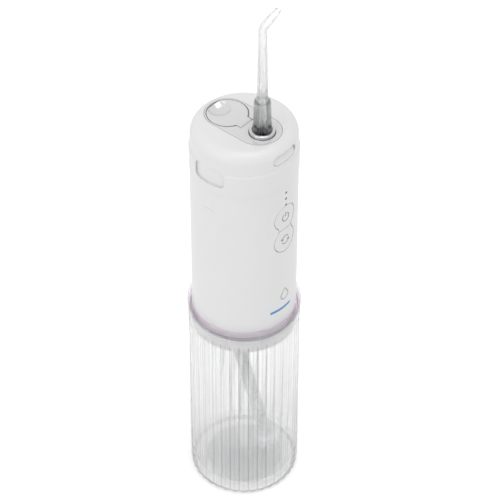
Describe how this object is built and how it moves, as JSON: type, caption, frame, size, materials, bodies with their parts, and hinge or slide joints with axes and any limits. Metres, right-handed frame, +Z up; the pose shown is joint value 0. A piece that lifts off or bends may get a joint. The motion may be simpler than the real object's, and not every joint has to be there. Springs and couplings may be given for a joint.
{
  "type": "water flosser",
  "caption": "Telescopic cordless water flosser: a white handle slides out of a clear fluted water tank, with a bent clear jet tip, a storage lid and push keys.",
  "frame": {"origin": "centre of the foot pad on the surface the flosser stands on", "axes": "+Z up along the handle, -Y front with the keys, +X right side seen from the front"},
  "size_m": [0.057, 0.057, 0.3004],
  "materials": {
    "white_shell": "satin moulded ABS",
    "top_panel": "semi-gloss moulded ABS",
    "key_rubber": "soft-touch over-moulding",
    "release_plastic": "semi-gloss moulded ABS",
    "clear_tank": "clear moulded copolyester",
    "lavender_collar": "gloss lavender plastic",
    "foot_rubber": "light grey rubber",
    "seal_rubber": "silicone rubber",
    "flap_rubber": "white rubber",
    "chrome_ring": "bright chrome plate",
    "clear_nozzle": "clear polycarbonate",
    "inner_plastic": "moulded acetal",
    "gear_plastic": "natural acetal",
    "clear_hose": "translucent silicone",
    "light_guide": "smoked light guide",
    "steel": "ground stainless steel",
    "motor_can": "plated steel can",
    "cell_wrap": "shrink-wrapped cell",
    "nickel": "nickel strip",
    "board_green": "glass-epoxy board",
    "switch_black": "black nylon",
    "weight_body": "moulded plastic over a steel core"
  },
  "bodies": {
    "tank_unit": {"water_tank": "clear_tank", "foot_pad": "foot_rubber"},
    "collar": {"collar_ring": "lavender_collar", "collar_seal": "seal_rubber"},
    "handle": {"handle_shell": "white_shell", "base_cover": "white_shell", "base_seal": "seal_rubber", "top_cap": "white_shell", "top_plate": "top_panel", "cap_seal": "seal_rubber", "storage_cup": "inner_plastic", "lid_pin": "steel", "key_membrane": "seal_rubber", "chassis": "inner_plastic", "chassis_screws": "steel", "battery": "cell_wrap", "battery_tabs": "nickel", "circuit_board": "board_green", "power_switch": "switch_black", "mode_switch": "switch_black", "light_pipes": "light_guide", "charge_socket": "switch_black", "nozzle_socket": "inner_plastic", "socket_seal": "seal_rubber", "motor": "motor_can", "gear_axle": "steel", "pump_cylinder": "inner_plastic", "pump_head": "inner_plastic", "inlet_valve": "inner_plastic", "outlet_valve": "inner_plastic", "suction_pipe": "clear_hose", "outlet_pipe": "clear_hose", "hose_barb": "inner_plastic", "suction_hose": "clear_hose"},
    "intake": {"intake_weight": "weight_body", "intake_filter": "steel"},
    "power_button": {"power_key": "key_rubber"},
    "mode_button": {"mode_key": "key_rubber"},
    "release": {"release_button": "release_plastic"},
    "lid": {"storage_lid": "top_panel"},
    "port_flap": {"port_cover": "flap_rubber"},
    "swivel": {"swivel_ring": "chrome_ring"},
    "jet_tip": {"jet_nozzle": "clear_nozzle", "nozzle_seal": "seal_rubber"},
    "crank": {"crank_gear": "gear_plastic", "crank_pin": "steel"},
    "rotor": {"motor_shaft": "steel", "motor_pinion": "gear_plastic"},
    "conrod": {"connecting_rod": "inner_plastic", "wrist_pin": "steel"},
    "plunger": {"piston": "inner_plastic", "piston_seal": "seal_rubber"}
  },
  "joints": [
    {"name": "tank_release", "type": "slide", "parent": "tank_unit", "child": "collar", "axis": [0, 0, 1], "range_m": [0, 0.12]},
    {"name": "telescope", "type": "slide", "parent": "collar", "child": "handle", "axis": [0, 0, 1], "range_m": [-0.085, 0], "deforming": ["suction_hose"]},
    {"name": "intake_rise", "type": "slide", "parent": "handle", "child": "intake", "axis": [0, 0, 1], "range_m": [0, 0.085]},
    {"name": "power_press", "type": "slide", "parent": "handle", "child": "power_button", "axis": [0, 1, 0], "range_m": [0, 0.0006], "stiffness_N_per_m": 2500, "springref_m": -0.0002},
    {"name": "mode_press", "type": "slide", "parent": "handle", "child": "mode_button", "axis": [0, 1, 0], "range_m": [0, 0.0006], "stiffness_N_per_m": 2500, "springref_m": -0.0002},
    {"name": "release_press", "type": "slide", "parent": "handle", "child": "release", "axis": [0, 1, 0], "range_m": [0, 0.0012], "stiffness_N_per_m": 2000, "springref_m": -0.0005},
    {"name": "lid_hinge", "type": "hinge", "parent": "handle", "child": "lid", "pos_m": [0, -0.0001, 0.2287], "axis": [1, 0, 0], "range_deg": [0, 95]},
    {"name": "port_hinge", "type": "hinge", "parent": "handle", "child": "port_flap", "pos_m": [0, 0.02575, 0.207], "axis": [-1, 0, 0], "range_deg": [0, 100], "stiffness_Nm_per_rad": 0.002},
    {"name": "nozzle_swivel", "type": "hinge", "parent": "handle", "child": "swivel", "pos_m": [0, -0.011, 0.2287], "axis": [0, 0, 1], "continuous": true},
    {"name": "tip_release", "type": "slide", "parent": "swivel", "child": "jet_tip", "axis": [0, 0, 1], "range_m": [0, 0.025]},
    {"name": "crank_spin", "type": "hinge", "parent": "handle", "child": "crank", "pos_m": [0.009, -0.006, 0.166], "axis": [1, 0, 0], "continuous": true},
    {"name": "motor_spin", "type": "hinge", "parent": "handle", "child": "rotor", "pos_m": [0.009, -0.006, 0.152], "axis": [1, 0, 0], "continuous": true},
    {"name": "rod_swing", "type": "hinge", "parent": "crank", "child": "conrod", "pos_m": [0.0049, -0.006, 0.168], "axis": [1, 0, 0], "continuous": true},
    {"name": "piston_stroke", "type": "slide", "parent": "handle", "child": "plunger", "axis": [0, 0, 1], "range_m": [-0.004, 0]}
  ],
  "couplings": [
    {"joint": "intake_rise", "follows": "telescope", "ratio": -1},
    {"joint": "motor_spin", "follows": "crank_spin", "ratio": -3},
    {"joint": "rod_swing", "follows": "crank_spin", "ratio": -1}
  ]
}
